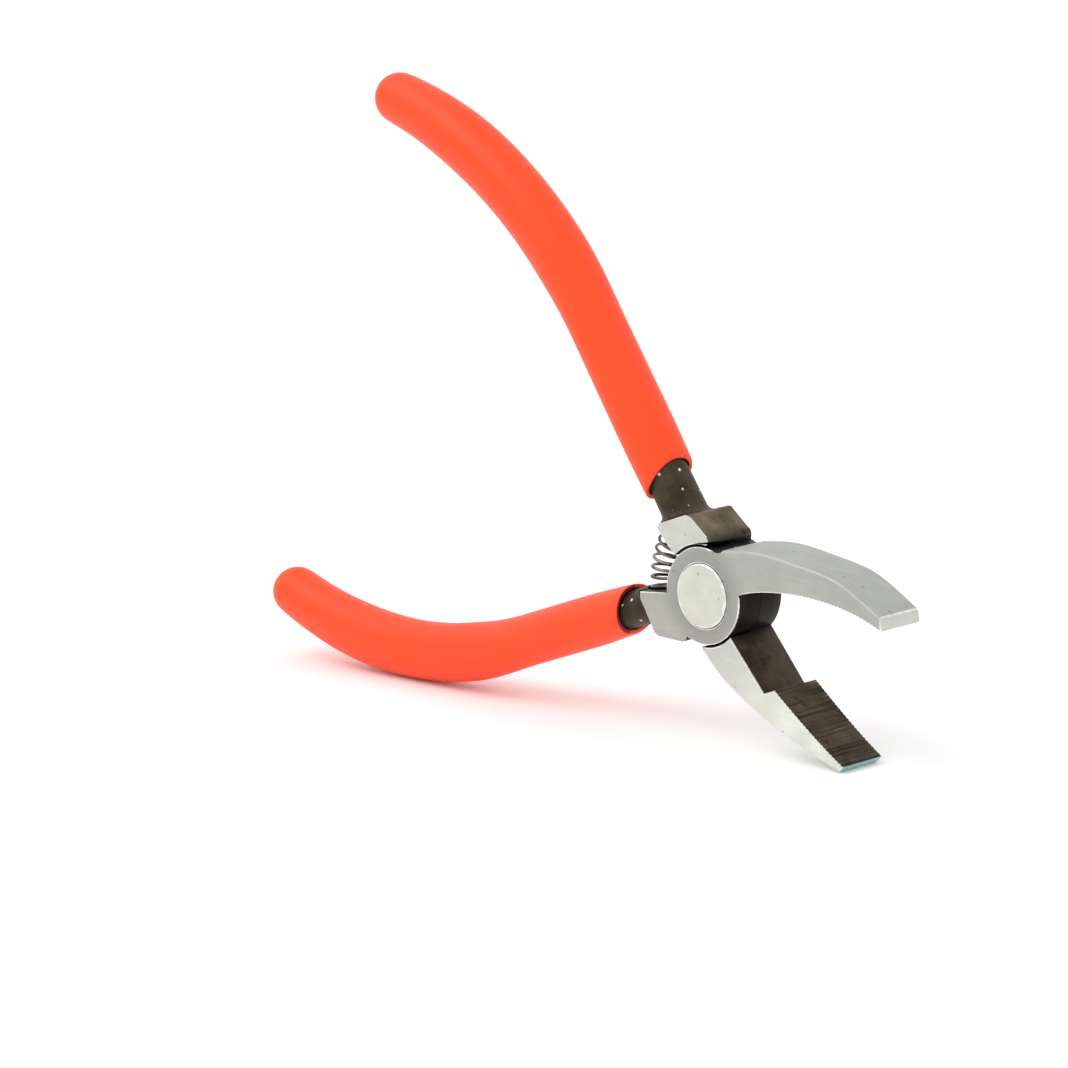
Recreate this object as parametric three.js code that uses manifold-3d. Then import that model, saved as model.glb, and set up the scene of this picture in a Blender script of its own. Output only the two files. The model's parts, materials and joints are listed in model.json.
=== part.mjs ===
// Mosaic glass nippers: two forged levers crossing in a half-lap joint, a pivot
// rivet, a coil return spring between the shoulders and two sleeve grips.
//
// Every lever is drawn in its own frame: x runs from the pivot to the jaw tip, z
// is towards its own jaw side, y is the thickness, with the front face at -y.
// Closed, both levers lie on the same x axis; the nippers are built standing open.
// Millimetres and degrees.

import * as THREE from 'three';
import { mergeVertices } from 'three/addons/utils/BufferGeometryUtils.js';
import Module from 'manifold-3d';

// ---------------------------------------------------------------- dimensions

const joint = {
  bossRadius: 8.7,
  arcClearance: 0.45,       // between a boss and the concave arcs around it
  faceClearance: 0.1,       // between the two half laps
  halfThickness: 5.5,
  opening: 37.8,            // angle between the levers as they stand
};

const rivet = {
  headRadius: 5.75,
  headLand: 0.9,            // straight rim of the head, below its face
  tailRadius: 4.6,
  tailLand: 0.7,
  shankRadius: 3.2,
  coneHeight: 2,
  proud: 0.3,               // how far both ends stand out of the levers
  edgeBreak: 0.2,
  clearance: 0.1,
};

const jaw = {
  length: 32.3,             // boss edge to tip
  taperStart: 1.3,          // distance from the boss where the faces start to taper
  tipHalfThickness: 5,
  toothPitch: 0.8,
  toothDepth: 0.14,
  crestShare: 0.12,         // places along the jaw where its back is given a height
  middleShare: 0.4,
  foreShare: 0.7,
  backSteps: 48,
  throatSteps: 8,
};

const curvedJaw = {
  rootAngle: 62,            // radial end wall above the boss
  rootHeight: 1.25,         // height of that wall over the boss
  innerAngle: 8.9,          // where the inner face leaves the boss
  crestRise: 0.9,           // highest point of the back, above the boss radius
  middleHeight: 8.8,
  foreHeight: 7.1,
  noseHeight: 2.35,
  noseSetback: 0.25,
  hollowHeight: 3.4,        // inner face at the first tooth
  hollowShare: 0.44,        // where the first tooth stands, along the jaw
  throatShare: 0.14,        // where the throat's curve is pulled to, and how high
  throatFill: 0.93,
  biteShare: 0.77,          // the same for the curve through the teeth
  biteFill: 0.97,
};

const straightJaw = {
  rootAngle: 54,
  rootHeight: 1.1,
  innerAngle: 6.6,
  crestRise: -0.25,
  middleHeight: 7.3,
  foreHeight: 4.75,
  noseHeight: 1.65,
  noseSetback: 0.1,
  recessHeight: 3.25,       // depth of the throat recess at its end
  recessShare: 0.368,       // where the recess ends, along the jaw
  stepLength: 1.4,
  padHeight: 0.85,          // inner face at the first tooth
  biteShare: 0.78,
  biteFill: 1.1,
};

const shoulder = {
  outerRise: 0.3,           // outer face above the boss radius
  length: 6.1,              // boss arc to the neck, along the inner face
  innerGap: 0.8,            // inner face to the closed centre line, at the boss
  innerRise: 0.7,           // how much the inner face falls away to the neck
  cheek: 1.2,               // height of the square corner at the neck
  outerSetback: 3.9,        // how far the outer corner stands back from the neck
};

const neck = {
  length: 6.45,             // shoulder to the mouth of the grip, along x
  insideShoulder: 3,        // how far it runs on into the shoulder
  insideGrip: 6,            // how far it runs on inside the grip
  step: 0.3,                // its thickest part below the shoulder's faces
  filletSteps: 5,
  fillet: 1.3,              // how far it flares where it meets the shoulder
  shoulderSlant: 14,        // slope of the shoulder's end, across the handle
};

const handle = {
  mouthZ: 6.6,              // middle of the grip's mouth, from the closed centre line
  straight: 33.2,
  length: 98.4,             // mouth of the grip to its tip, along the middle
};
// shoulderEnd is the radial wall that stops the opening, mouthSlant the angle at
// which the grip's mouth is cut, and frontSide the way to the front along y.
const frontHandle = {
  splay: 20.3,
  bendRadius: 81.5,
  shoulderEnd: 116,
  mouthSlant: 20,
  frontSide: -1,
};
const rearHandle = {
  splay: 17.8,
  bendRadius: 84.5,
  shoulderEnd: 119,
  mouthSlant: 27,
  frontSide: 1,
};

const grip = {
  wall: 0.9,
  clearance: 0.15,
  tipWall: 3.5,
  mouthHalfWidth: 4.4,
  collarHalfWidth: 4.8,
  collarFull: 9,            // the mouth has widened to the collar size here
  mouthHalfDepth: 5.75,
  palmHalfWidth: 5.55,
  palmHalfDepth: 5.35,
  endHalf: 4.75,
  palmStart: 30,
  palmFull: 45,
  endStart: 70,
  tangStart: 2.5,           // the tang widens this far inside the mouth
  stations: 22,             // sections along the sides, and round the end
  endSteps: 5,
  slantEnd: 12,             // sections stand square to the handle from here on
  mouthBow: 0.9,            // the mouth's front edge reaches further out
};

const spring = {
  standOff: 4.9,            // of its centre line, beyond the boss
  coilRadius: 3,            // to the middle of the wire
  wireRadius: 0.3,
  coils: 11,
  startTurn: 20,            // where round its axis the wire starts
  seatDepth: 3.1,           // end of the spring below the shoulder face
  seatClearance: 0.2,
  seatMouth: 1.5,           // how far the seat's cutter stands out of the shoulder
  floorGap: 0.5,
  stepsPerCoil: 14,
  wireSides: 6,
};

const roundSegments = 64;
const gripSegments = 20;

// ------------------------------------------------------------- small helpers

const wasm = await Module();
wasm.setup();

const radians = THREE.MathUtils.degToRad;

const polar = (radius, degrees) => new THREE.Vector2(
  radius * Math.cos(radians(degrees)),
  radius * Math.sin(radians(degrees)),
);

function toSolid(geometry) {
  const bare = geometry.clone();
  bare.deleteAttribute('normal');
  bare.deleteAttribute('uv');
  const merged = mergeVertices(bare, 1e-5);
  return new wasm.Manifold(new wasm.Mesh({
    numProp: 3,
    vertProperties: new Float32Array(merged.attributes.position.array),
    triVerts: new Uint32Array(merged.index.array),
  }));
}

function toGeometry(solid) {
  const mesh = solid.getMesh();
  const geometry = new THREE.BufferGeometry();
  geometry.setAttribute('position', new THREE.BufferAttribute(mesh.vertProperties, 3));
  geometry.setIndex(new THREE.BufferAttribute(mesh.triVerts, 1));
  geometry.computeVertexNormals();
  return geometry;
}

// An outline in the x-z plane, given thickness along y.
function plate(outline, halfThickness) {
  const shape = new THREE.Shape(outline);
  const geometry = new THREE.ExtrudeGeometry(shape, { depth: 2 * halfThickness, bevelEnabled: false });
  geometry.rotateX(Math.PI / 2);
  geometry.translate(0, halfThickness, 0);
  return toSolid(geometry);
}

// A round disc about the pivot axis, between two heights along y.
function disc(radius, yLow, yHigh) {
  const geometry = new THREE.CylinderGeometry(radius, radius, yHigh - yLow, roundSegments);
  geometry.translate(0, (yLow + yHigh) / 2, 0);
  return toSolid(geometry);
}

// ------------------------------------------------------------- jaw outlines

const arcRadius = joint.bossRadius + joint.arcClearance;
const tipX = joint.bossRadius + jaw.length;

// A point along the jaw, by its share of the way from the boss to the tip.
const along = (share, height) => new THREE.Vector2(joint.bossRadius + share * jaw.length, height);

// Teeth along a curve: every second point stands back by the tooth depth.
function teeth(curve) {
  const halves = 2 * Math.round(curve.getLength() / jaw.toothPitch);
  return curve.getSpacedPoints(halves).map((point, index) => (
    new THREE.Vector2(point.x, point.y + (index % 2 ? jaw.toothDepth : 0))
  ));
}

// The back of a jaw, from the nose to its radial end wall, and into the boss.
function jawBack(form) {
  const root = polar(joint.bossRadius + form.rootHeight, form.rootAngle);
  const back = new THREE.SplineCurve([
    new THREE.Vector2(tipX - form.noseSetback, form.noseHeight),
    along(jaw.foreShare, form.foreHeight),
    along(jaw.middleShare, form.middleHeight),
    along(jaw.crestShare, joint.bossRadius + form.crestRise),
    root,
  ]);
  return [...back.getPoints(jaw.backSteps), polar(joint.bossRadius / 2, form.rootAngle)];
}

function curvedJawOutline() {
  const form = curvedJaw;
  const root = polar(joint.bossRadius, form.innerAngle);
  const firstTooth = along(form.hollowShare, form.hollowHeight);
  const pulled = along(form.throatShare, form.throatFill * form.hollowHeight);
  const throat = new THREE.QuadraticBezierCurve(root, pulled, firstTooth);
  const bite = new THREE.QuadraticBezierCurve(
    firstTooth,
    along(form.biteShare, form.biteFill * form.hollowHeight),
    new THREE.Vector2(tipX, 0),
  );
  const throatPoints = throat.getPoints(jaw.throatSteps).slice(0, -1);
  return [new THREE.Vector2(0, 0), ...throatPoints, ...teeth(bite), ...jawBack(form)];
}

function straightJawOutline() {
  const form = straightJaw;
  const root = polar(joint.bossRadius, form.innerAngle);
  const recessEnd = along(form.recessShare, form.recessHeight);
  const firstTooth = new THREE.Vector2(recessEnd.x + form.stepLength, form.padHeight);
  const bite = new THREE.QuadraticBezierCurve(
    firstTooth,
    along(form.biteShare, form.biteFill * form.padHeight),
    new THREE.Vector2(tipX, 0),
  );
  return [new THREE.Vector2(0, 0), root, recessEnd, ...teeth(bite), ...jawBack(form)];
}

// ------------------------------------------------------------ handle outlines

const neckX = -(arcRadius + shoulder.length);
const mouthX = neckX - neck.length;
const outerZ = -(joint.bossRadius + shoulder.outerRise);
const innerFaceZ = (x) => (
  -(shoulder.innerGap + shoulder.innerRise * (-x - arcRadius) / shoulder.length)
);

function shoulderOutline(form) {
  const outerX = neckX + shoulder.outerSetback;
  const endWall = radians(form.shoulderEnd);
  const endX = -outerZ / Math.tan(endWall);
  return [
    new THREE.Vector2(0, innerFaceZ(-arcRadius)),
    new THREE.Vector2(-arcRadius, innerFaceZ(-arcRadius)),
    new THREE.Vector2(neckX, innerFaceZ(neckX)),
    new THREE.Vector2(neckX, innerFaceZ(neckX) - shoulder.cheek),
    new THREE.Vector2(outerX, outerZ),
    new THREE.Vector2(endX, outerZ),
  ];
}

// The middle line of a handle: straight from the grip's mouth, then an arc back
// towards the centre line. distance is measured from the mouth.
function handleFrame(form, distance) {
  const start = radians(form.splay);
  const run = Math.min(distance, handle.straight);
  const turn = Math.max(distance - handle.straight, 0) / form.bendRadius;
  const heading = start - turn;
  const x = mouthX - run * Math.cos(start)
    - form.bendRadius * (Math.sin(start) - Math.sin(heading));
  const z = -handle.mouthZ - run * Math.sin(start)
    - form.bendRadius * (Math.cos(heading) - Math.cos(start));
  const along3 = new THREE.Vector3(-Math.cos(heading), 0, -Math.sin(heading));
  const across = new THREE.Vector3(-along3.z, 0, along3.x);
  return { middle: new THREE.Vector3(x, 0, z), along: along3, across };
}

// Half sizes of the grip's outside: in the plane of the levers, and along y.
const { smoothstep, lerp } = THREE.MathUtils;

function gripHalfWidth(distance) {
  const collar = lerp(grip.mouthHalfWidth, grip.collarHalfWidth, smoothstep(distance, 0, grip.collarFull));
  const palm = lerp(collar, grip.palmHalfWidth, smoothstep(distance, grip.palmStart, grip.palmFull));
  return lerp(palm, grip.endHalf, smoothstep(distance, grip.endStart, handle.length));
}

function gripHalfDepth(distance) {
  const palm = lerp(grip.mouthHalfDepth, grip.palmHalfDepth, smoothstep(distance, 0, grip.palmFull));
  return lerp(palm, grip.endHalf, smoothstep(distance, grip.endStart, handle.length));
}

// A turned profile of (radius, distance) points, flattened to the grip's section,
// slanted near the mouth and bent along the handle. Before the mouth, on the
// neck, sections slope the other way, like the end of the shoulder.
function bentAlongHandle(profile, form) {
  const geometry = new THREE.LatheGeometry(profile, gripSegments);
  const position = geometry.attributes.position;
  for (let index = 0; index < position.count; index += 1) {
    const station = position.getY(index);
    const nearMouth = station < 0 ? 0 : 1 - smoothstep(station, 0, grip.slantEnd);
    const slope = station < 0
      ? -Math.tan(radians(neck.shoulderSlant))
      : Math.tan(radians(form.mouthSlant)) * nearMouth;
    const radius = Math.hypot(position.getX(index), position.getZ(index));
    const flatten = radius > 1e-6
      ? (radius + gripHalfDepth(station) - gripHalfWidth(station)) / radius
      : 0;
    const forward = form.frontSide * position.getZ(index) * flatten / grip.mouthHalfDepth;
    const bow = grip.mouthBow * nearMouth * Math.max(forward, 0) ** 2;
    const distance = station + slope * position.getX(index) - bow;
    const frame = handleFrame(form, distance);
    const depthAxis = new THREE.Vector3().crossVectors(frame.across, frame.along);
    const point = frame.middle
      .addScaledVector(frame.across, position.getX(index))
      .addScaledVector(depthAxis, position.getZ(index) * flatten);
    position.setXYZ(index, point.x, point.y, point.z);
  }
  return toSolid(geometry);
}

// The inset outline of the grip from one distance to its round end, as profile
// points that finish on the axis.
function insetProfile(inset, start, endInset) {
  const end = handle.length - endInset;
  const capRadius = grip.endHalf - inset;
  const capStart = end - capRadius;
  const sides = Array.from({ length: grip.stations + 1 }, (_, index) => {
    const distance = lerp(start, capStart, index / grip.stations);
    return new THREE.Vector2(gripHalfWidth(distance) - inset, distance);
  });
  const cap = Array.from({ length: grip.endSteps }, (_, index) => {
    const angle = (index + 1) / grip.endSteps * Math.PI / 2;
    const radius = index + 1 < grip.endSteps ? sides.at(-1).x * Math.cos(angle) : 0;
    return new THREE.Vector2(radius, capStart + capRadius * Math.sin(angle));
  });
  return [...sides, ...cap];
}

function gripSolid(form) {
  const outside = insetProfile(0, 0, 0);
  const cavity = insetProfile(grip.wall, 0, grip.tipWall).reverse();
  return bentAlongHandle([...cavity, ...outside], form);
}

const tangInset = grip.wall + grip.clearance;

function tangSolid(form) {
  const body = insetProfile(tangInset, grip.tangStart, grip.tipWall + grip.clearance);
  return bentAlongHandle([new THREE.Vector2(0, grip.tangStart), ...body], form);
}

// The neck is an oval bar, the size of the inside of the grip, from inside the
// shoulder to inside the grip. It flares where it meets the shoulder, and stays
// within the shoulder's faces.
function neckSolid(form) {
  const slope = Math.tan(radians(form.splay));
  const middleZ = -handle.mouthZ + neck.length * slope;
  const endSlope = Math.tan(radians(form.splay + neck.shoulderSlant));
  const cornerZ = innerFaceZ(neckX) - shoulder.cheek;
  const beyondCorner = (cornerZ - middleZ) * endSlope / (1 + slope * endSlope);
  const end = -(neck.length + beyondCorner) / Math.cos(radians(form.splay));
  const halfWidth = grip.mouthHalfWidth - tangInset;
  const flare = [];
  for (let step = 0; step <= neck.filletSteps; step += 1) {
    const angle = step / neck.filletSteps * Math.PI / 2;
    flare.push([
      halfWidth + neck.fillet * (1 - Math.sin(angle)),
      end + neck.fillet * (1 - Math.cos(angle)),
    ]);
  }
  const profile = [
    [0, end - neck.insideShoulder],
    [halfWidth, end - neck.insideShoulder],
    [halfWidth, end - neck.step],
    ...flare,
    [halfWidth, neck.insideGrip],
    [0, neck.insideGrip],
  ];
  const bar = bentAlongHandle(profile.map(([radius, y]) => new THREE.Vector2(radius, y)), form);
  const top = innerFaceZ(neckX);
  const far = 2 * mouthX;
  const within = plate([
    new THREE.Vector2(-arcRadius, top),
    new THREE.Vector2(neckX - neck.fillet, top),
    new THREE.Vector2(far, 0),
    new THREE.Vector2(far, 4 * outerZ),
    new THREE.Vector2(-arcRadius, 4 * outerZ),
  ], joint.halfThickness - neck.step);
  return bar.intersect(within);
}

// ------------------------------------------------------------- rivet and spring

function rivetSolid(clearance) {
  const face = joint.halfThickness + rivet.proud;
  const head = rivet.headRadius + clearance;
  const tail = rivet.tailRadius + clearance;
  const shank = rivet.shankRadius + clearance;
  const headSeat = -face + rivet.headLand + rivet.proud;
  const tailSeat = face - rivet.tailLand - rivet.proud;
  const profile = [
    [0, -face],
    [head - rivet.edgeBreak, -face],
    [head, -face + rivet.edgeBreak],
    [head, headSeat],
    [shank, headSeat + rivet.coneHeight],
    [shank, tailSeat - rivet.coneHeight / 2],
    [tail, tailSeat],
    [tail, face - rivet.edgeBreak],
    [tail - rivet.edgeBreak, face],
    [0, face],
  ];
  const points = profile.map(([radius, y]) => new THREE.Vector2(radius, y));
  return toSolid(new THREE.LatheGeometry(points, roundSegments));
}

const springArc = joint.bossRadius + spring.standOff;

// Angle about the pivot, below the closed centre line, of the shoulder face at
// the spring and of the spring's end in its seat.
const faceAngle = Math.asin(-innerFaceZ(-springArc) / springArc);
const seatAngle = faceAngle + spring.seatDepth / springArc;

class CoilOnArc extends THREE.Curve {
  getPoint(share, target = new THREE.Vector3()) {
    const angle = lerp(-seatAngle, seatAngle + radians(joint.opening), share);
    const turn = 2 * Math.PI * spring.coils * share + radians(spring.startTurn);
    const radius = springArc + spring.coilRadius * Math.cos(turn);
    return target.set(
      -radius * Math.cos(angle),
      -spring.coilRadius * Math.sin(turn),
      radius * Math.sin(angle),
    );
  }
}

function springSolid() {
  const section = new THREE.Shape(Array.from({ length: spring.wireSides }, (_, side) => (
    polar(spring.wireRadius, 360 * side / spring.wireSides)
  )));
  return toSolid(new THREE.ExtrudeGeometry(section, {
    steps: spring.coils * spring.stepsPerCoil,
    extrudePath: new CoilOnArc(),
    bevelEnabled: false,
  }));
}

// The blind hole in a shoulder that holds one end of the spring.
function springSeat() {
  const radius = spring.coilRadius + spring.wireRadius + spring.seatClearance;
  const depth = spring.seatDepth + spring.wireRadius + spring.floorGap;
  const middleAngle = faceAngle + depth / 2 / springArc;
  const geometry = new THREE.CylinderGeometry(radius, radius, depth + spring.seatMouth, roundSegments / 2);
  geometry.rotateX(Math.PI / 2);
  geometry.translate(-springArc, 0, spring.seatMouth / 2);
  geometry.rotateY(-middleAngle);
  return toSolid(geometry);
}

// ------------------------------------------------------------------- levers

// Faces that taper towards the jaw tip, as a solid to cut the head with.
function taperedFaces() {
  const start = joint.bossRadius + jaw.taperStart;
  const half = joint.halfThickness;
  const reach = neckX - 1;
  const outline = [
    new THREE.Vector2(reach, -half),
    new THREE.Vector2(start, -half),
    new THREE.Vector2(tipX, -jaw.tipHalfThickness),
    new THREE.Vector2(tipX, jaw.tipHalfThickness),
    new THREE.Vector2(start, half),
    new THREE.Vector2(reach, half),
  ];
  const height = 4 * joint.bossRadius;
  const geometry = new THREE.ExtrudeGeometry(new THREE.Shape(outline), { depth: height, bevelEnabled: false });
  geometry.translate(0, 0, -height / 2);
  return toSolid(geometry);
}

// lapSide is -1 where the lever's half of the joint is in front, 1 where it is
// behind.
function leverSolid(jawOutline, form, lapSide) {
  const half = joint.halfThickness;
  const blank = plate(jawOutline, half + 1)
    .add(disc(joint.bossRadius, -half, half))
    .add(plate(shoulderOutline(form), half))
    .intersect(taperedFaces())
    .add(neckSolid(form))
    .add(tangSolid(form));
  const lapFace = lapSide * joint.faceClearance / 2;
  const beyond = -lapSide * (half + 1);
  const recess = disc(arcRadius, Math.min(lapFace, beyond), Math.max(lapFace, beyond));
  return blank
    .subtract(recess)
    .subtract(rivetSolid(rivet.clearance))
    .subtract(springSeat());
}

// ------------------------------------------------------------------- assembly

const finishes = {
  front_lever: { color: 0xb0b2a5, roughness: 0.42, metalness: 0.9 },
  rear_lever: { color: 0xc8cabf, roughness: 0.42, metalness: 0.9 },
  pivot_rivet: { color: 0xd6d8cc, roughness: 0.35, metalness: 0.9 },
  return_spring: { color: 0x3a3835, roughness: 0.35, metalness: 0.95 },
  front_grip: { color: 0xff5836, roughness: 0.5, metalness: 0 },
  rear_grip: { color: 0xff5836, roughness: 0.5, metalness: 0 },
};

function piece(name, solid) {
  const mesh = new THREE.Mesh(toGeometry(solid), new THREE.MeshStandardMaterial(finishes[name]));
  mesh.name = name;
  return mesh;
}

// A half turn about x puts the rear lever's jaw side down and its half of the
// joint behind.
function rearLever() {
  const group = new THREE.Group();
  group.rotation.x = Math.PI;
  group.add(
    piece('rear_lever', leverSolid(straightJawOutline(), rearHandle, -1)),
    piece('rear_grip', gripSolid(rearHandle)),
  );
  const opened = new THREE.Group();
  opened.rotation.y = radians(joint.opening);
  opened.add(group);
  return opened;
}

const nippers = new THREE.Group();
nippers.add(
  piece('front_lever', leverSolid(curvedJawOutline(), frontHandle, -1)),
  piece('front_grip', gripSolid(frontHandle)),
  piece('pivot_rivet', rivetSolid(0)),
  piece('return_spring', springSolid()),
  rearLever(),
);

// The nippers stand on the belly of the lower grip and on the lower jaw's tip.
function lowest(object) {
  object.updateWorldMatrix(true, false);
  const position = object.geometry.attributes.position;
  const point = new THREE.Vector3();
  let low = Infinity;
  for (let index = 0; index < position.count; index += 1) {
    low = Math.min(low, point.fromBufferAttribute(position, index).applyMatrix4(object.matrixWorld).z);
  }
  return low;
}

const belly = nippers.getObjectByName('front_grip');
const tip = nippers.getObjectByName('rear_lever');
let lean = radians(-15);
for (let step = radians(15); step > 1e-9; step /= 2) {
  nippers.rotation.y = lean + step;
  if (lowest(tip) > lowest(belly)) {
    lean += step;
  }
}
nippers.rotation.y = lean;

const stand = new THREE.Group();
stand.add(nippers);
stand.updateWorldMatrix(true, true);
const bounds = new THREE.Box3().setFromObject(stand, true);
nippers.position.set(
  -(bounds.min.x + bounds.max.x) / 2,
  -(bounds.min.y + bounds.max.y) / 2,
  -bounds.min.z,
);

export default stand;
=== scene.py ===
"""Breaker nippers: forged steel levers, a flush rivet, an open coil spring and
dipped vinyl sleeves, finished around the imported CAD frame."""

import json
from contextlib import contextmanager
from math import cos, radians, sin

import bpy
from mathutils import Matrix, Vector


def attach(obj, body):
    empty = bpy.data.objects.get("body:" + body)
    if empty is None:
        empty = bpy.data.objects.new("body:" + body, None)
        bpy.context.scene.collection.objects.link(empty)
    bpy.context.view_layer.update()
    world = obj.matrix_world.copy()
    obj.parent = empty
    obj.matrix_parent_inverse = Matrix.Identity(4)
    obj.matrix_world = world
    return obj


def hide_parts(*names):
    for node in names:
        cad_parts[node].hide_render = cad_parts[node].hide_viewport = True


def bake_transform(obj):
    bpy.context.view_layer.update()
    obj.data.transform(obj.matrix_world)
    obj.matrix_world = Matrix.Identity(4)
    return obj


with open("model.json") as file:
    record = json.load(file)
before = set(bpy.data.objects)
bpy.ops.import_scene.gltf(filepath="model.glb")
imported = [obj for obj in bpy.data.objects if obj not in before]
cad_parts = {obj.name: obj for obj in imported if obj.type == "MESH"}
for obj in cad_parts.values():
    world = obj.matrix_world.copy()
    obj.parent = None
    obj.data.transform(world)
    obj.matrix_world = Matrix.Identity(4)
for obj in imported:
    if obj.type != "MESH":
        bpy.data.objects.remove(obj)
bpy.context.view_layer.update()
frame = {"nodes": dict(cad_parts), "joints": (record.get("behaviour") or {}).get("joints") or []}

bl_info = {
    "name": "Breaker Nippers",
    "version": (1, 0, 0),
    "blender": (4, 5, 0),
    "location": "3D View > Sidebar > Nippers",
    "description": "Levers, rivet, spring and grips of a pair of breaker nippers",
    "category": "Object",
}

MM = 0.001

HINGE = next(j for j in frame["joints"] if j["name"] == "nipper_hinge")
PIVOT = Vector(HINGE["pos_m"])


# ------------------------------------------------------------ sizes and colours


def length(name, millimetres, description):
    return bpy.props.FloatProperty(
        name=name,
        description=description,
        default=millimetres * MM,
        min=0,
        precision=5,
        unit="LENGTH",
    )


def turn(name, angle, description):
    return bpy.props.FloatProperty(
        name=name, description=description, default=radians(angle), unit="ROTATION"
    )


def amount(name, default, description):
    return bpy.props.FloatProperty(name=name, description=description, default=default)


def colour(name, default, description):
    return bpy.props.FloatVectorProperty(
        name=name,
        description=description,
        default=default,
        size=3,
        min=0,
        max=1,
        subtype="COLOR",
    )


class NippersSizes(bpy.types.PropertyGroup):
    """Sizes of the finishing work on the forgings, the spring and the sleeves."""

    lean: turn("Lean", 1.21, "Turn of the front lever off level, as it stands")
    opening: turn("Opening", 37.8, "Angle between the levers, as they stand")
    merge: length("Merge", 0.13, "Points of a lever closer than this are joined")
    sliver: length("Sliver", 0.05, "Faces of a lever thinner than this are closed up")
    edge_break: length("Edge break", 0.20, "Width of the broken edges of the faces")
    shoulder_round: length("Shoulder", 0.8, "Rounding of the shoulders' outside")
    soft_edge: length("Soft edge", 0.5, "Rounding between a face and the jaw's back")
    rivet_edge: length("Rivet edge", 0.16, "Chamfer round the rivet's faces")
    lip_round: length("Lip rounding", 0.34, "Rounding of the sleeve's mouth")
    sleeve_swell: length("Sleeve swell", 0.03, "Makes up for smoothing the sleeve")
    wire_swell: length("Wire swell", 0.035, "Makes up for smoothing the wire")


class NippersColours(bpy.types.PropertyGroup):
    """Colours of the finishes."""

    ground_front: colour(
        "Front lever", (0.42, 0.43, 0.385), "Ground faces of the front lever"
    )
    ground_rear: colour(
        "Rear lever", (0.77, 0.785, 0.71), "Ground faces of the rear lever"
    )
    jaw_back: colour("Jaw back", (0.47, 0.485, 0.455), "Ground back of the jaws")
    nose_curved: colour("Curved nose", (0.60, 0.61, 0.56), "End of the curved jaw")
    nose_straight: colour("Straight nose", (0.43, 0.65, 0.67), "End of the other jaw")
    # edge colour: partly bare metal where the edge is worn, partly a painted highlight, brighter
    # than the ground faces
    edge: colour("Worn edge", (0.82, 0.81, 0.77), "Broken edges, bare and bright")
    oxide: colour("Black oxide", (0.070, 0.056, 0.036), "Blackened forged skin")
    # darkest oxide tone: real dark patches, and also the painted shade round the boss
    oxide_dark_and_shade: colour("Oxide patches", (0.012, 0.010, 0.008), "Darkest patches")
    bare: colour("Rubbed teeth", (0.34, 0.29, 0.22), "Teeth rubbed bare on the pad")
    pit: colour("Pits", (0.85, 0.83, 0.76), "Bright pits in the necks")
    rust: colour("Heat tint", (0.40, 0.13, 0.02), "Tint at the corner of the step")
    rivet: colour("Rivet", (0.64, 0.66, 0.575), "Ground ends of the rivet")
    wire: colour("Spring wire", (0.16, 0.15, 0.14), "Blued spring wire")
    vinyl: colour("Vinyl", (0.97, 0.066, 0.009), "Dipped vinyl outside")
    # painted shade: a darker red for the faces inside the sleeve, where the same vinyl lies in
    # shade
    vinyl_inside_shade: colour("Vinyl inside", (0.32, 0.012, 0.008), "Inside the sleeve")
    floor: colour("Floor", (0.98, 0.98, 0.98), "Studio floor")


class NippersStudio(bpy.types.PropertyGroup):
    """Camera and light."""

    azimuth: turn("Azimuth", 45.78, "Camera's way round, from the front")
    elevation: turn("Elevation", 11.43, "Camera's height above the level")
    roll: turn("Roll", -1.76, "Camera's turn about its own axis")
    distance: length("Distance", 900, "Camera to the point it looks at")
    lens: amount("Lens", 173.53, "Focal length in millimetres")
    sky: amount("Sky", 1.0, "Strength of the even light")
    key: amount("Key", 4.0, "Power of the main soft light, in watts")


LOOK_AT = Vector((13.50, -22.07, 37.75)) * MM
FLOOR_SIZE = 6
LIGHT_AT = (-0.35, -0.55, 0.95)
LIGHT_SIZE = (0.9, 0.7)


# --------------------------------------------------------------- mesh handling


def deselect():
    active = bpy.context.view_layer.objects.active
    if active and active.mode != "OBJECT":
        bpy.ops.object.mode_set(mode="OBJECT")
    bpy.ops.object.select_all(action="DESELECT")


def activate(piece):
    deselect()
    piece.select_set(True)
    bpy.context.view_layer.objects.active = piece


@contextmanager
def editing(piece, kind="FACE"):
    activate(piece)
    bpy.ops.object.mode_set(mode="EDIT")
    bpy.ops.mesh.select_mode(type=kind)
    yield
    bpy.ops.object.mode_set(mode="OBJECT")


def select_edges(piece, chosen):
    """Selects just the edges whose index is in chosen, ready for edit mode."""
    mesh = piece.data
    for group in (mesh.polygons, mesh.edges, mesh.vertices):
        group.foreach_set("select", [False] * len(group))
    for index in chosen:
        mesh.edges[index].select = True
        for corner in mesh.edges[index].vertices:
            mesh.vertices[corner].select = True


def copied(node, name, merge=0.004 * MM):
    """A new piece from a CAD node's mesh, merged and ready to shape."""
    source = frame["nodes"][node]
    piece = bpy.data.objects.new(name, source.data.copy())
    piece.data.name = name
    bpy.context.scene.collection.objects.link(piece)
    piece.data.materials.clear()
    activate(piece)
    bpy.ops.mesh.customdata_custom_splitnormals_clear()
    with editing(piece):
        bpy.ops.mesh.select_all(action="SELECT")
        bpy.ops.mesh.remove_doubles(threshold=merge)
    return piece


def edge_sides(mesh):
    """For every edge, the faces on its two sides."""
    sides = [[] for _ in mesh.edges]
    number = {key: index for index, key in enumerate(mesh.edge_keys)}
    for face in mesh.polygons:
        for key in face.edge_keys:
            sides[number[key]].append(face)
    return sides


def bevel(piece, chosen, size, segments, material=-1):
    select_edges(piece, chosen)
    with editing(piece, "EDGE"):
        bpy.ops.mesh.bevel(
            offset=size,
            segments=segments,
            profile=0.5,
            affect="EDGES",
            clamp_overlap=False,
            material=material,
        )


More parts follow.
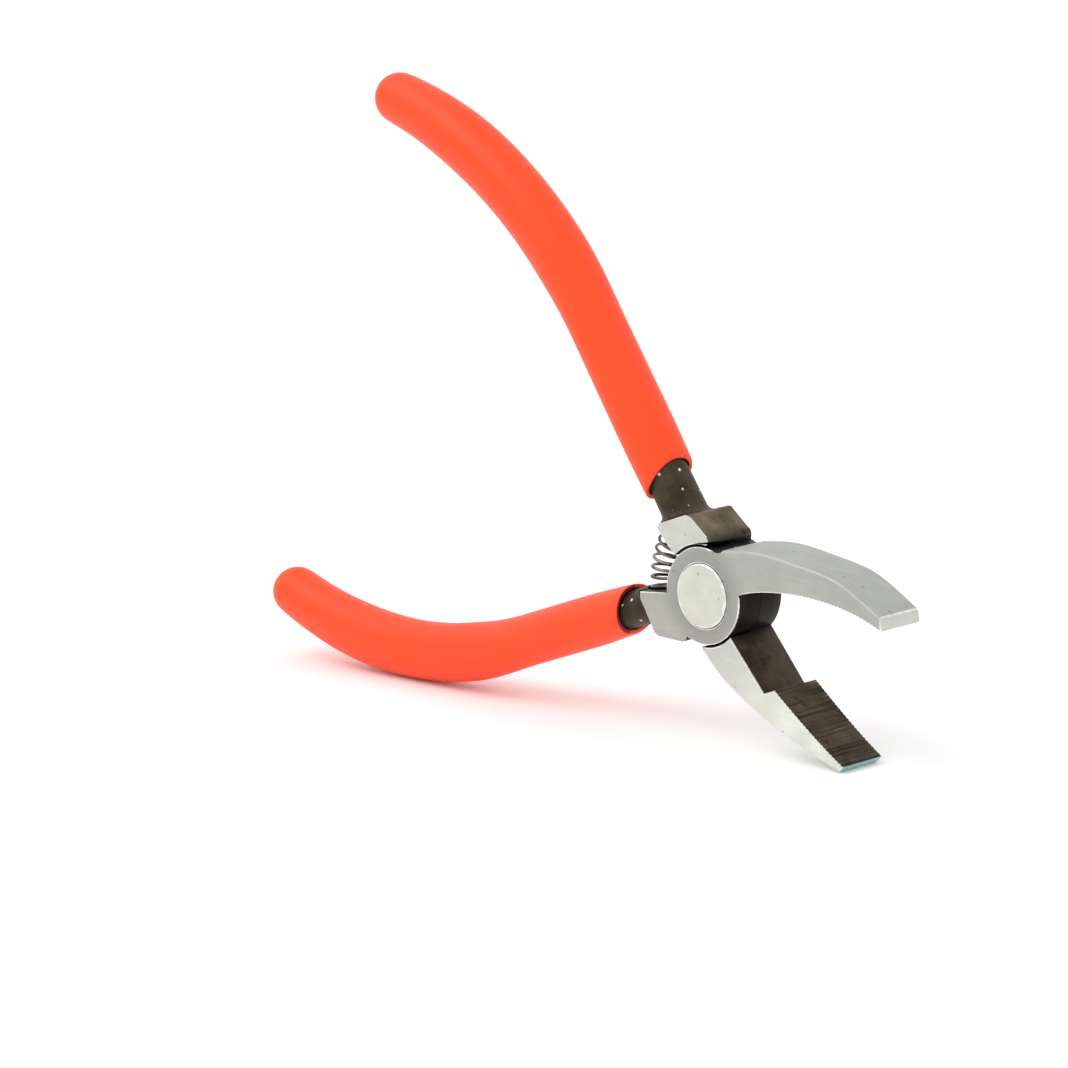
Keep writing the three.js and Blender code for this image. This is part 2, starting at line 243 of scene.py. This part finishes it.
def finish_piece(piece, body, slot, *nodes, smooth=32):
    activate(piece)
    bpy.ops.object.shade_smooth_by_angle(angle=radians(smooth))
    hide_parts(*nodes)
    if body:
        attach(piece, body)


# ------------------------------------------------------------------ materials


class Value:
    """A shader socket whose sums and products add Math nodes."""

    def __init__(self, finish, socket):
        self.finish = finish
        self.socket = socket

    def math(self, operation, other):
        return self.finish.node(
            "ShaderNodeMath",
            {"operation": operation},
            {"Value": self, "Value_001": other},
        )

    def __add__(self, other):
        return self.math("ADD", other)

    def __mul__(self, other):
        return self.math("MULTIPLY", other)

    __radd__ = __add__
    __rmul__ = __mul__


class Finish:
    """A procedural material, built up from nodes."""

    def __init__(self, name):
        self.material = bpy.data.materials.new(name)
        self.material.use_nodes = True
        self.tree = self.material.node_tree
        self.shader = next(
            n for n in self.tree.nodes if n.bl_idname == "ShaderNodeBsdfPrincipled"
        )
        self.place = self.node("ShaderNodeTexCoord", output="Object")

    def node(self, kind, settings=None, inputs=None, output=0):
        made = self.tree.nodes.new(kind)
        for key, value in (settings or {}).items():
            setattr(made, key, value)
        for key, value in (inputs or {}).items():
            self.put(self.socket(made.inputs, key), value)
        return Value(self, self.socket(made.outputs, output))

    @staticmethod
    def socket(sockets, key):
        if isinstance(key, int):
            return sockets[key]
        exact = [s for s in sockets if s.identifier == key]
        return (exact or [s for s in sockets if s.name == key])[0]

    def put(self, socket, value):
        if isinstance(value, Value):
            self.tree.links.new(value.socket, socket)
        elif socket.type == "RGBA" and len(value) == 3:
            socket.default_value = (*value, 1)
        else:
            socket.default_value = value

    def set(self, **inputs):
        """Puts values on the shader, with _ for the spaces in a socket's name."""
        for key, value in inputs.items():
            self.put(self.shader.inputs[key.replace("_", " ")], value)

    def noise(self, scale, detail=2.0, stretch=(1, 1, 1), turned=0.0, rough=0.5):
        place = self.node(
            "ShaderNodeMapping",
            {},
            {"Vector": self.place, "Rotation": (0, turned, 0), "Scale": stretch},
        )
        return self.node(
            "ShaderNodeTexNoise",
            {},
            {"Vector": place, "Scale": scale, "Detail": detail, "Roughness": rough},
            "Fac",
        )

    def band(self, value, low, high, to_low=0.0, to_high=1.0):
        """Value from low to high, spread over to_low to to_high."""
        return self.node(
            "ShaderNodeMapRange",
            {},
            {
                "Value": value,
                "From Min": low,
                "From Max": high,
                "To Min": to_low,
                "To Max": to_high,
            },
        )

    def mix(self, share, first, second):
        return self.node(
            "ShaderNodeMix",
            {"data_type": "RGBA"},
            {"Factor_Float": share, "A_Color": first, "B_Color": second},
            "Result_Color",
        )

    def near(self, point, inner, outer):
        """1 within inner of a point, falling to 0 at outer."""
        away = self.node(
            "ShaderNodeVectorMath",
            {"operation": "DISTANCE"},
            {"Vector": self.place, "Vector_001": point},
            "Value",
        )
        return self.band(away, inner, outer, 1.0, 0.0)

    def specks(self, scale, size, share):
        """Sparse round dots: 1 in a dot, 0 elsewhere."""
        cells = {"Vector": self.place, "Scale": scale}
        away = self.node("ShaderNodeTexVoronoi", {}, cells, "Distance")
        pick = self.node("ShaderNodeTexVoronoi", {}, cells, "Color")
        pick = self.node("ShaderNodeSeparateColor", {}, {"Color": pick}, "Red")
        dot = self.band(away, size * 0.6, size, 1.0, 0.0)
        return dot * self.band(pick, 1 - share, 1 - share + 0.01)

    def bump(self, height, distance):
        normal = self.node(
            "ShaderNodeBump",
            {},
            {"Height": height, "Distance": distance},
        )
        self.set(Normal=normal)


def shades(tone, dark, light):
    """A darker and a lighter shade of a colour."""
    return [c * dark for c in tone], [min(c * light, 1) for c in tone]


def ground_steel(name, tone, grain_turn, rough=0.40, darkening=0.0, reach=0.0):
    """Bare ground face: faint clouds, fine grinding lines, a few dark specks, and
    darker round the rivet, by the share given and as far as reach."""
    finish = Finish(name)
    clouds = finish.noise(170, 4, rough=0.55)
    lines = finish.noise(1500, 3, (0.10, 1, 1), grain_turn)
    streaks = finish.noise(420, 2, (0.16, 1, 1), grain_turn)
    specks = finish.specks(640, 0.26, 0.10)
    low, high = shades(tone, 0.93, 1.05)
    base = finish.mix(finish.band(clouds, 0.36, 0.66), low, high)
    worn, pale = shades(tone, 0.84, 1.25)
    base = finish.mix(finish.band(streaks, 0.60, 0.76, 0.0, 0.45), base, pale)
    base = finish.mix(finish.band(lines, 0.56, 0.74, 0.0, 0.40), base, worn)
    dull, _ = shades(tone, 0.55, 1)
    base = finish.mix(specks * 0.6, base, dull)
    if darkening:
        # darkens the ground face towards the rivet, by the share and reach given
        near_rivet = finish.near(PIVOT, reach * 0.4, reach)
        base = finish.mix(near_rivet * darkening, base, dull)
    finish.set(
        Base_Color=base,
        Metallic=0.92,
        Roughness=finish.band(
            clouds + lines * 0.6, 0.45, 1.15, rough - 0.05, rough + 0.10
        ),
    )
    finish.bump(lines * 0.5 + clouds * 0.4, 0.03 * MM)
    return finish.material


def worn_edge_and_highlight(name, tone):
    """Broken edge, bright partly where the blackening or scale has gone and partly as a painted
    highlight of the edge catching the light.
    """
    finish = Finish(name)
    wear = finish.noise(900, 3)
    low, high = shades(tone, 0.78, 1.05)
    finish.set(
        Base_Color=finish.mix(finish.band(wear, 0.35, 0.60), low, high),
        Metallic=0.75,
        Roughness=finish.band(wear, 0.3, 0.7, 0.28, 0.42),
    )
    finish.bump(wear, 0.02 * MM)
    return finish.material


def black_oxide(name, colours, tone=1.0, serrated=False, tint_at=None, pitted=0.0):
    """Blackened forged skin: brown-grey, blotched, with rubbed lighter patches, and painted
    shade round the boss.
    """
    finish = Finish(name)
    clouds = finish.noise(210, 5, rough=0.6)
    patches = finish.noise(330, 3, rough=0.55)
    grain = finish.noise(2600, 2)
    low, high = shades(colours.oxide, 0.75 * tone, 1.55 * tone)
    base = finish.mix(finish.band(clouds, 0.36, 0.68), low, high)
    base = finish.mix(
        finish.band(patches, 0.60, 0.72, 0.0, 0.75), base, colours.oxide_dark_and_shade
    )
    # painted shade: the oxide goes to its darkest tone close round the boss, where the throat
    # and end walls lie in shade
    shade = finish.near(PIVOT, BOSS + 0.6 * MM, BOSS + 3.2 * MM)
    base = finish.mix(shade * 0.94, base, colours.oxide_dark_and_shade)
    height = grain * 0.35 + patches * 0.8
    if serrated:
        lines = finish.noise(1300, 3, (1, 0.045, 1))
        base = finish.mix(
            finish.band(lines, 0.50, 0.66, 0.0, 0.8), base, colours.oxide_dark_and_shade
        )
        bare = finish.noise(1150, 2, (1, 0.06, 1), 0.9)
        base = finish.mix(finish.band(bare, 0.66, 0.74, 0.0, 0.5), base, colours.bare)
    if tint_at:
        tint = finish.near(tint_at, 0.3 * MM, 1.7 * MM) * finish.band(
            patches, 0.25, 0.55, 0.3, 1.0
        )
        base = finish.mix(tint, base, colours.rust)
    if pitted:
        dots = finish.specks(560, 0.20, pitted)
        base = finish.mix(dots * 0.95, base, colours.pit)
        height = height + dots * 0.8
    finish.set(
        Base_Color=base,
        Metallic=0.2 if serrated else 0.5,
        Roughness=finish.band(clouds, 0.3, 0.7, 0.36, 0.52) + (0.16 if serrated else 0.0),
        Specular_IOR_Level=0.06,
    )
    finish.bump(height, 0.05 * MM)
    return finish.material


def spring_steel(name, tone):
    """Blued drawn wire, with lighter and darker stretches."""
    finish = Finish(name)
    heat = finish.noise(260, 3)
    draw = finish.noise(3200, 2)
    low, high = shades(tone, 0.45, 1.5)
    finish.set(
        Base_Color=finish.mix(finish.band(heat, 0.38, 0.62), low, high),
        Metallic=0.95,
        Roughness=finish.band(draw, 0.3, 0.7, 0.22, 0.36),
    )
    finish.bump(draw, 0.01 * MM)
    return finish.material


def vinyl(name, tone, rough=0.42):
    """Dipped soft vinyl: even colour, slow drift, a barely pebbled skin."""
    finish = Finish(name)
    drift = finish.noise(38, 2)
    pebble = finish.noise(1700, 2)
    runs = finish.noise(120, 2)
    low, high = shades(tone, 0.94, 1.03)
    finish.set(
        Base_Color=finish.mix(finish.band(drift, 0.35, 0.65), low, high),
        Roughness=finish.band(pebble, 0.25, 0.75, rough - 0.05, rough + 0.08),
        Subsurface_Weight=0.12,
        Subsurface_Radius=(1.0, 0.25, 0.12),
        Subsurface_Scale=1.2 * MM,
        Specular_IOR_Level=0.3,
    )
    finish.bump(pebble * 0.5 + runs * 0.5, 0.04 * MM)
    return finish.material


# -------------------------------------------------------------------- levers

HALF_THICKNESS = 5.5 * MM
TIP_LOSS = 0.5 * MM  # how much thinner each side is at the jaw's end
TAPER_START = 10 * MM
JAW_END = 41 * MM
JAW_ROOT = 3 * MM
TEETH_START = 20.7 * MM
NECK_START = -15.25 * MM
BOSS = 8.7 * MM
TOOTH = 0.55 * MM  # faces narrower than this belong to the fine teeth
WIDE = 5 * MM  # faces less wide than this don't
GROUND_DEPTH = 0.12 * MM  # how far a ground face may lie under the outside
NOSE_DEPTH = 0.8 * MM
STEP_ALONG = 22.0 * MM
STEP_ABOVE = 1.4 * MM
DARKEN_FRONT = (1.0, 12 * MM)  # share and reach of the darkening round the rivet
DARKEN_REAR = (0.6, 28.7 * MM)
FLAT = radians(0.3)
CORNER = radians(25)
GONE = 0.002 * MM

GROUND, BACK, OXIDE, TEETH, NECK, EDGE, NOSE, FLANK = range(8)
BRIGHT = {GROUND, BACK, NOSE}


class LeverFrame:
    """A lever's own axes: out along the jaw, and towards its jaw's back."""

    def __init__(self, angle, side):
        self.out = Vector((cos(angle), 0, -sin(angle)))
        self.up = Vector((sin(angle), 0, cos(angle))) * side

    def along(self, point):
        return (point - PIVOT).dot(self.out)

    def above(self, point):
        return (point - PIVOT).dot(self.up)


def face_class(face, axes):
    """Which finish a face of a lever gets, by its place and the way it points."""
    out = axes.along(face.center)
    up = axes.above(face.center)
    taper = min(max((out - TAPER_START) / (JAW_END - TAPER_START), 0), 1)
    flat = HALF_THICKNESS - TIP_LOSS * taper
    if abs(face.normal.y) > 0.95 and abs(face.center.y) > flat - GROUND_DEPTH:
        return GROUND
    if out < NECK_START - 0.1 * MM:
        return NECK
    if face.normal.dot(axes.out) > 0.85 and out > JAW_END - NOSE_DEPTH:
        return NOSE
    facing_up = face.normal.dot(axes.up)
    if out > JAW_ROOT and facing_up > 0.6 and up > 1 * MM:
        return BACK
    if out > TEETH_START and facing_up < 0:
        return TEETH
    if out < 0 and up < -0.9 * BOSS and facing_up < -0.8:
        return FLANK
    return OXIDE


def narrow(face, mesh):
    """True for the faces of the fine teeth."""
    if face.material_index == BACK:
        return False
    points = [mesh.vertices[v].co for v in face.vertices]
    spread_y = max(p.y for p in points) - min(p.y for p in points)
    if spread_y < WIDE:
        return False
    return face.area / spread_y < TOOTH


def finish_lever(node, name, axes, materials, sizes):
    """A lever's forging, with each face's finish and its edges broken."""
    piece = copied(node, name, sizes.merge)
    with editing(piece):
        bpy.ops.mesh.select_all(action="SELECT")
        bpy.ops.mesh.dissolve_degenerate(threshold=sizes.sliver)
        bpy.ops.mesh.dissolve_limited(angle_limit=FLAT)
    mesh = piece.data
    for material in materials:
        mesh.materials.append(material)
    for face in mesh.polygons:
        face.material_index = face_class(face, axes)

    def corners(test):
        chosen = []
        for edge, sides in zip(mesh.edges, edge_sides(mesh)):
            if len(sides) != 2:
                continue
            first, second = sides
            if narrow(first, mesh) or narrow(second, mesh):
                continue
            if first.normal.angle(second.normal, 0) < CORNER:
                continue
            if test({first.material_index, second.material_index}, edge):
                chosen.append(edge.index)
        return chosen

    def shoulder_corner(kinds, edge):
        start, end = (mesh.vertices[v].co for v in edge.vertices)
        across = abs(start.y - end.y) > 0.95 * (start - end).length
        middle = (start + end) / 2
        outside = axes.above(middle) < -0.8 * BOSS
        return kinds <= {OXIDE, FLANK} and across and outside

    def crisp(kinds, edge):
        return bool(kinds & BRIGHT) and not kinds <= {GROUND, BACK} and NECK not in kinds

    def soft(kinds, edge):
        return kinds == {GROUND, BACK}

    bevel(piece, corners(shoulder_corner), sizes.shoulder_round, 4, FLANK)
    bevel(piece, corners(soft), sizes.soft_edge, 4, BACK)
    bevel(piece, corners(crisp), sizes.edge_break, 2, EDGE)
    with editing(piece):
        bpy.ops.mesh.select_all(action="SELECT")
        bpy.ops.mesh.dissolve_degenerate(threshold=GONE)
    return piece


class NIPPERS_OT_levers(bpy.types.Operator):
    """Forged levers: broken edges, ground faces and blackened skin"""

    bl_idname = "nippers.levers"
    bl_label = "Levers"

    def execute(self, context):
        sizes = context.scene.nippers_sizes
        colours = context.scene.nippers_colours
        edge = worn_edge_and_highlight("worn_edge_and_highlight", colours.edge)
        front = ("front_lever", sizes.lean, 1)
        rear = ("rear_lever", sizes.lean + sizes.opening, -1)
        front_finish = (colours.ground_front, colours.jaw_back, colours.nose_curved)
        rear_finish = (colours.ground_rear, colours.ground_rear, colours.nose_straight)
        levers = (
            (*front, *front_finish, *DARKEN_FRONT),
            (*rear, *rear_finish, *DARKEN_REAR),
        )
        for node, angle, side, ground, back, nose, darkening, reach in levers:
            axes = LeverFrame(angle, side)
            step = PIVOT + axes.out * STEP_ALONG + axes.up * STEP_ABOVE
            step.y = HALF_THICKNESS
            tint_at = step if side < 0 else None
            materials = [
                ground_steel(node + "_ground", ground, angle, 0.40, darkening, reach),
                ground_steel(node + "_back", back, angle, 0.58),
                black_oxide(node + "_oxide", colours, 0.82, tint_at=tint_at),
                black_oxide(node + "_teeth", colours, serrated=True, tint_at=tint_at),
                black_oxide(node + "_neck", colours, 0.74, pitted=0.55),
                edge,
                ground_steel(node + "_nose", nose, angle, 0.36),
                black_oxide(node + "_flank", colours, 1.85),
            ]
            piece = finish_lever(node, node + "_forging", axes, materials, sizes)
            finish_piece(piece, node, "forged_steel", node)
        return {"FINISHED"}


# --------------------------------------------------------------------- rivet


class NIPPERS_OT_rivet(bpy.types.Operator):
    """Countersunk rivet, ground almost flush, with a bright chamfer"""

    bl_idname = "nippers.rivet"
    bl_label = "Rivet"

    def execute(self, context):
        sizes = context.scene.nippers_sizes
        colours = context.scene.nippers_colours
        piece = copied("pivot_rivet", "rivet_body")
        with editing(piece):
            bpy.ops.mesh.select_all(action="SELECT")
            bpy.ops.mesh.dissolve_limited(angle_limit=radians(1.2))
        mesh = piece.data
        mesh.materials.append(ground_steel("rivet_ground", colours.rivet, 0.6, 0.46))
        mesh.materials.append(worn_edge_and_highlight("rivet_chamfer", colours.edge))
        for face in mesh.polygons:
            face.material_index = 0 if abs(face.normal.y) > 0.99 else 1
        rims = [
            edge.index
            for edge, sides in zip(mesh.edges, edge_sides(mesh))
            if len(sides) == 2
            and min(abs(sides[0].normal.y), abs(sides[1].normal.y)) < 0.9
            and max(abs(sides[0].normal.y), abs(sides[1].normal.y)) > 0.99
        ]
        bevel(piece, rims, sizes.rivet_edge, 2, 1)
        finish_piece(piece, "front_lever", "rivet_steel", "pivot_rivet")
        return {"FINISHED"}


# -------------------------------------------------------------------- spring


class NIPPERS_OT_spring(bpy.types.Operator):
    """Open coil spring between the two shoulders"""

    bl_idname = "nippers.spring"
    bl_label = "Spring"

    def execute(self, context):
        sizes = context.scene.nippers_sizes
        colours = context.scene.nippers_colours
        piece = copied("return_spring", "spring_coil")
        with editing(piece):
            bpy.ops.mesh.select_all(action="SELECT")
            bpy.ops.mesh.tris_convert_to_quads(face_threshold=3, shape_threshold=3)
            bpy.ops.transform.shrink_fatten(value=sizes.wire_swell)
        smooth = piece.modifiers.new("smooth_wire", "SUBSURF")
        smooth.levels = smooth.render_levels = 2
        activate(piece)
        bpy.ops.object.modifier_apply(modifier=smooth.name)
        piece.data.materials.append(spring_steel("spring_wire", colours.wire))
        finish_piece(piece, None, "spring_wire", "return_spring", smooth=80)

        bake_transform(piece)
        return {"FINISHED"}


# --------------------------------------------------------------------- grips


RING = 2.5 * MM  # length of sleeve whose faces are sorted together


class NIPPERS_OT_grips(bpy.types.Operator):
    """Dipped vinyl sleeves with a rounded mouth"""

    bl_idname = "nippers.grips"
    bl_label = "Grips"

    def execute(self, context):
        sizes = context.scene.nippers_sizes
        colours = context.scene.nippers_colours
        outside = vinyl("vinyl_outside", colours.vinyl)
        # darker copy of the vinyl, painting the shade inside the sleeve
        inside = vinyl("vinyl_inside_shade", colours.vinyl_inside_shade, 0.6)
        for node, body in (("front_grip", "front_lever"), ("rear_grip", "rear_lever")):
            piece = copied(node, node.replace("grip", "sleeve"))
            with editing(piece):
                bpy.ops.mesh.select_all(action="SELECT")
                bpy.ops.mesh.tris_convert_to_quads(face_threshold=3, shape_threshold=3)
            mesh = piece.data
            mesh.materials.append(outside)
            mesh.materials.append(inside)
            self.paint_inside_shade(mesh)
            rims = [
                edge.index
                for edge, sides in zip(mesh.edges, edge_sides(mesh))
                if len(sides) == 2
                and sides[0].normal.angle(sides[1].normal, 0) > radians(50)
            ]
            bevel(piece, rims, sizes.lip_round, 2)
            with editing(piece):
                bpy.ops.mesh.select_all(action="SELECT")
                bpy.ops.transform.shrink_fatten(value=sizes.sleeve_swell)
            smooth = piece.modifiers.new("smooth_sleeve", "SUBSURF")
            smooth.levels = smooth.render_levels = 2
            activate(piece)
            bpy.ops.object.modifier_apply(modifier=smooth.name)
            finish_piece(piece, body, "grip_vinyl", node, smooth=80)
        return {"FINISHED"}

    @staticmethod
    def paint_inside_shade(mesh):
        """Gives the cavity's faces, which point towards the sleeve's middle, slot 1, the darker
        vinyl that paints the shade inside the sleeve.
        """
        by_ring = {}
        for face in mesh.polygons:
            key = round(face.center.x / RING)
            by_ring.setdefault(key, []).append(face)
        for faces in by_ring.values():
            middle = sum((f.center for f in faces), Vector()) / len(faces)
            for face in faces:
                inward = (middle - face.center).dot(face.normal)
                face.material_index = 1 if inward > 0 else 0


# --------------------------------------------------------------------- stage


class NIPPERS_OT_stage(bpy.types.Operator):
    """Pale floor, soft light and the camera"""

    bl_idname = "nippers.stage"
    bl_label = "Stage"

    def execute(self, context):
        studio = context.scene.nippers_studio
        colours = context.scene.nippers_colours
        deselect()
        bpy.ops.mesh.primitive_plane_add(size=FLOOR_SIZE, location=(0, 0, 0))
        floor = context.object
        floor.name = "studio_floor"
        finish = Finish("studio_floor")
        finish.set(Base_Color=colours.floor, Roughness=0.9)
        floor.data.materials.append(finish.material)

        world = bpy.data.worlds.new("studio")
        world.use_nodes = True
        sky = world.node_tree.nodes["Background"]
        sky.inputs["Color"].default_value = (1, 1, 1, 1)
        sky.inputs["Strength"].default_value = studio.sky
        context.scene.world = world
        context.scene.view_settings.view_transform = "Standard"

        bpy.ops.object.light_add(type="AREA", location=LIGHT_AT)
        light = context.object
        light.name = "soft_box"
        light.data.shape = "RECTANGLE"
        light.data.size, light.data.size_y = LIGHT_SIZE
        light.data.energy = studio.key
        towards = LOOK_AT - light.location
        light.rotation_euler = towards.to_track_quat("-Z", "Y").to_euler()

        bpy.ops.object.camera_add()
        camera = context.object
        camera.name = "camera"
        round_z = Matrix.Rotation(studio.azimuth, 4, "Z")
        tilt = Matrix.Rotation(radians(90) - studio.elevation, 4, "X")
        roll = Matrix.Rotation(studio.roll, 4, "Z")
        back = (round_z @ tilt).to_3x3() @ Vector((0, 0, 1))
        camera.location = LOOK_AT + back * studio.distance
        camera.rotation_euler = (round_z @ tilt @ roll).to_euler()
        camera.data.lens = studio.lens
        camera.data.clip_start = 0.05
        context.scene.camera = camera
        return {"FINISHED"}


# --------------------------------------------------------------------- panel


class NIPPERS_PT_sidebar(bpy.types.Panel):
    """Sizes, colours and pieces of the nippers"""

    bl_label = "Breaker Nippers"
    bl_idname = "NIPPERS_PT_sidebar"
    bl_space_type = "VIEW_3D"
    bl_region_type = "UI"
    bl_category = "Nippers"

    def draw(self, context):
        scene = context.scene
        for group in (scene.nippers_sizes, scene.nippers_colours, scene.nippers_studio):
            box = self.layout.box()
            for name in group.bl_rna.properties.keys():
                if name not in ("rna_type", "name"):
                    box.prop(group, name)
        for operator in OPERATORS:
            self.layout.operator(operator.bl_idname)


GROUPS = {
    "nippers_sizes": NippersSizes,
    "nippers_colours": NippersColours,
    "nippers_studio": NippersStudio,
}
OPERATORS = (
    NIPPERS_OT_stage,
    NIPPERS_OT_levers,
    NIPPERS_OT_rivet,
    NIPPERS_OT_spring,
    NIPPERS_OT_grips,
)


def register():
    for cls in (*GROUPS.values(), *OPERATORS, NIPPERS_PT_sidebar):
        bpy.utils.register_class(cls)
    for name, group in GROUPS.items():
        setattr(bpy.types.Scene, name, bpy.props.PointerProperty(type=group))


def unregister():
    for name in GROUPS:
        delattr(bpy.types.Scene, name)
    for cls in (NIPPERS_PT_sidebar, *reversed(OPERATORS), *GROUPS.values()):
        bpy.utils.unregister_class(cls)


def main():
    register()
    bpy.ops.nippers.stage()
    bpy.ops.nippers.levers()
    bpy.ops.nippers.rivet()
    bpy.ops.nippers.spring()
    bpy.ops.nippers.grips()


if __name__ == "__main__":
    main()
